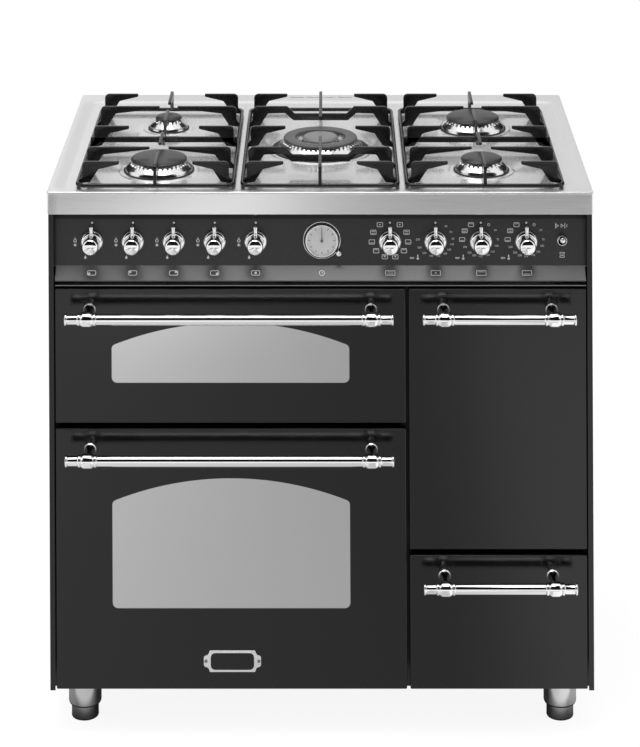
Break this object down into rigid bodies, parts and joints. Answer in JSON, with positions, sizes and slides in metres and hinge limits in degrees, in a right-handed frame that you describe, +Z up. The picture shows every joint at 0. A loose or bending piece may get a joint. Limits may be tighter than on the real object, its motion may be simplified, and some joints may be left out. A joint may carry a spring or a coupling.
{
  "type": "range cooker",
  "caption": "Free-standing range cooker with a gas hob, drop-down oven doors, a storage drawer, round chrome knobs and bar handles.",
  "frame": {"origin": "on the floor, under the middle of the overall box", "axes": "+X to the cooker's right as seen from the front, +Y to its back, +Z up"},
  "size_m": [0.9, 0.6502, 0.938],
  "materials": {
    "worktop_steel": "polished stainless sheet",
    "cabinet_paint": "satin dark enamel",
    "plain_steel": "galvanised sheet and plain steel",
    "frame_paint": "matte black",
    "bright_trim": "bright folded edge",
    "panel_paint": "satin charcoal",
    "oven_enamel": "speckled vitreous enamel",
    "shelf_chrome": "plated wire",
    "seal_rubber": "heat-proof seal",
    "element_steel": "heat-tinted tube",
    "motor_paint": "black motor casing",
    "cast_aluminium": "machined casting",
    "cap_enamel": "matte black enamel",
    "tap_brass": "turned brass",
    "switch_plastic": "moulded",
    "chrome": "polished plating",
    "clock_metal": "polished case with a pale dial",
    "clock_glass": "clear lens",
    "leg_steel": "brushed stainless",
    "door_paint": "matte charcoal enamel",
    "door_glass": "reflective coated pane",
    "door_liner_steel": "dark enamel",
    "plate_metal": "bare plate with a raised edge",
    "support_enamel": "black enamel",
    "hand_paint": "dark lacquer"
  },
  "bodies": {
    "cabinet": {"worktop": "worktop_steel", "side_panels": "cabinet_paint", "back_panel": "plain_steel", "base_pan": "plain_steel", "front_frame": "frame_paint", "heat_deflector": "bright_trim", "control_panel": "panel_paint", "upper_oven_liner": "oven_enamel", "main_oven_liner": "oven_enamel", "side_oven_liner": "oven_enamel", "oven_shelves": "shelf_chrome", "door_seals": "seal_rubber", "heating_elements": "element_steel", "fan_motor": "motor_paint", "fan_cover": "oven_enamel", "hinge_arms": "plain_steel", "drawer_rails": "plain_steel", "burner_cups_and_pipes": "cast_aluminium", "burner_crowns": "cast_aluminium", "burner_caps": "cap_enamel", "gas_rail": "plain_steel", "gas_taps": "tap_brass", "oven_switches": "switch_plastic", "control_bezels": "chrome", "clock_case": "clock_metal", "clock_glass": "clock_glass", "leg_sleeves": "leg_steel", "levelling_feet": "leg_steel"},
    "upper_door": {"upper_door_panel": "door_paint", "upper_door_glass": "door_glass", "upper_door_liner": "door_liner_steel", "upper_door_handle": "chrome"},
    "main_door": {"main_door_panel": "door_paint", "main_door_glass": "door_glass", "main_door_liner": "door_liner_steel", "main_door_handle": "chrome", "nameplate": "plate_metal"},
    "side_door": {"side_door_panel": "door_paint", "side_door_liner": "door_liner_steel", "side_door_handle": "chrome"},
    "drawer": {"drawer_front": "door_paint", "drawer_box": "plain_steel", "drawer_handle": "chrome"},
    "pan_support_left": {"pan_support_left": "support_enamel"},
    "pan_support_centre": {"pan_support_centre": "support_enamel"},
    "pan_support_right": {"pan_support_right": "support_enamel"},
    "toggle_lever": {"toggle_lever": "chrome"},
    "hour_hand": {"hour_hand": "hand_paint"},
    "minute_hand": {"minute_hand": "hand_paint"},
    "clock_setter": {"clock_setter": "chrome"},
    "fan_impeller": {"fan_impeller": "plain_steel"},
    "gas_knob_1": {"gas_knob_1": "chrome"},
    "gas_knob_2": {"gas_knob_2": "chrome"},
    "gas_knob_3": {"gas_knob_3": "chrome"},
    "gas_knob_4": {"gas_knob_4": "chrome"},
    "gas_knob_5": {"gas_knob_5": "chrome"},
    "oven_knob_1": {"oven_knob_1": "chrome"},
    "oven_knob_2": {"oven_knob_2": "chrome"},
    "oven_knob_3": {"oven_knob_3": "chrome"},
    "oven_knob_4": {"oven_knob_4": "chrome"}
  },
  "joints": [
    {"name": "upper_door_hinge", "type": "hinge", "parent": "cabinet", "child": "upper_door", "pos_m": [-0.149, -0.2529, 0.528], "axis": [1, 0, 0], "range_deg": [0, 90], "stiffness_Nm_per_rad": 1.8, "springref_deg": -28.65},
    {"name": "main_door_hinge", "type": "hinge", "parent": "cabinet", "child": "main_door", "pos_m": [-0.149, -0.2529, 0.089], "axis": [1, 0, 0], "range_deg": [0, 90], "stiffness_Nm_per_rad": 3, "springref_deg": -22.92},
    {"name": "side_door_hinge", "type": "hinge", "parent": "cabinet", "child": "side_door", "pos_m": [0.29175, -0.2529, 0.3195], "axis": [1, 0, 0], "range_deg": [0, 90], "stiffness_Nm_per_rad": 1.5, "springref_deg": -22.92},
    {"name": "drawer_slide", "type": "slide", "parent": "cabinet", "child": "drawer", "axis": [0, -1, 0], "range_m": [0, 0.28]},
    {"name": "gas_knob_1_turn", "type": "hinge", "parent": "cabinet", "child": "gas_knob_1", "pos_m": [-0.3783, -0.2469, 0.81], "axis": [0, -1, 0], "range_deg": [0, 200]},
    {"name": "gas_knob_2_turn", "type": "hinge", "parent": "cabinet", "child": "gas_knob_2", "pos_m": [-0.3105, -0.2469, 0.81], "axis": [0, -1, 0], "range_deg": [0, 200]},
    {"name": "gas_knob_3_turn", "type": "hinge", "parent": "cabinet", "child": "gas_knob_3", "pos_m": [-0.2427, -0.2469, 0.81], "axis": [0, -1, 0], "range_deg": [0, 200]},
    {"name": "gas_knob_4_turn", "type": "hinge", "parent": "cabinet", "child": "gas_knob_4", "pos_m": [-0.1749, -0.2469, 0.81], "axis": [0, -1, 0], "range_deg": [0, 200]},
    {"name": "gas_knob_5_turn", "type": "hinge", "parent": "cabinet", "child": "gas_knob_5", "pos_m": [-0.1071, -0.2469, 0.81], "axis": [0, -1, 0], "range_deg": [0, 200]},
    {"name": "oven_knob_1_turn", "type": "hinge", "parent": "cabinet", "child": "oven_knob_1", "pos_m": [0.1154, -0.2469, 0.81], "axis": [0, 1, 0], "continuous": true},
    {"name": "oven_knob_2_turn", "type": "hinge", "parent": "cabinet", "child": "oven_knob_2", "pos_m": [0.1907, -0.2469, 0.81], "axis": [0, 1, 0], "range_deg": [0, 285]},
    {"name": "oven_knob_3_turn", "type": "hinge", "parent": "cabinet", "child": "oven_knob_3", "pos_m": [0.266, -0.2469, 0.81], "axis": [0, 1, 0], "range_deg": [0, 325]},
    {"name": "oven_knob_4_turn", "type": "hinge", "parent": "cabinet", "child": "oven_knob_4", "pos_m": [0.3413, -0.2469, 0.81], "axis": [0, 1, 0], "range_deg": [0, 325]},
    {"name": "toggle_flip", "type": "hinge", "parent": "cabinet", "child": "toggle_lever", "pos_m": [0.4005, -0.2409, 0.812], "axis": [1, 0, 0], "range_deg": [0, 24]},
    {"name": "clock_setter_turn", "type": "hinge", "parent": "cabinet", "child": "clock_setter", "pos_m": [0.0305, -0.2469, 0.7925], "axis": [0, 1, 0], "continuous": true},
    {"name": "minute_hand_turn", "type": "hinge", "parent": "cabinet", "child": "minute_hand", "pos_m": [0.0025, -0.2469, 0.812], "axis": [0, 1, 0], "continuous": true},
    {"name": "hour_hand_turn", "type": "hinge", "parent": "cabinet", "child": "hour_hand", "pos_m": [0.0025, -0.2469, 0.812], "axis": [0, 1, 0], "continuous": true},
    {"name": "fan_spin", "type": "hinge", "parent": "cabinet", "child": "fan_impeller", "pos_m": [-0.149, 0.1751, 0.295], "axis": [0, -1, 0], "continuous": true},
    {"name": "pan_support_left_lift", "type": "slide", "parent": "cabinet", "child": "pan_support_left", "axis": [0, 0, 1], "range_m": [0, 0.08]},
    {"name": "pan_support_centre_lift", "type": "slide", "parent": "cabinet", "child": "pan_support_centre", "axis": [0, 0, 1], "range_m": [0, 0.08]},
    {"name": "pan_support_right_lift", "type": "slide", "parent": "cabinet", "child": "pan_support_right", "axis": [0, 0, 1], "range_m": [0, 0.08]}
  ],
  "couplings": [
    {"joint": "minute_hand_turn", "follows": "clock_setter_turn", "ratio": 1},
    {"joint": "hour_hand_turn", "follows": "clock_setter_turn", "ratio": 0.083333}
  ]
}
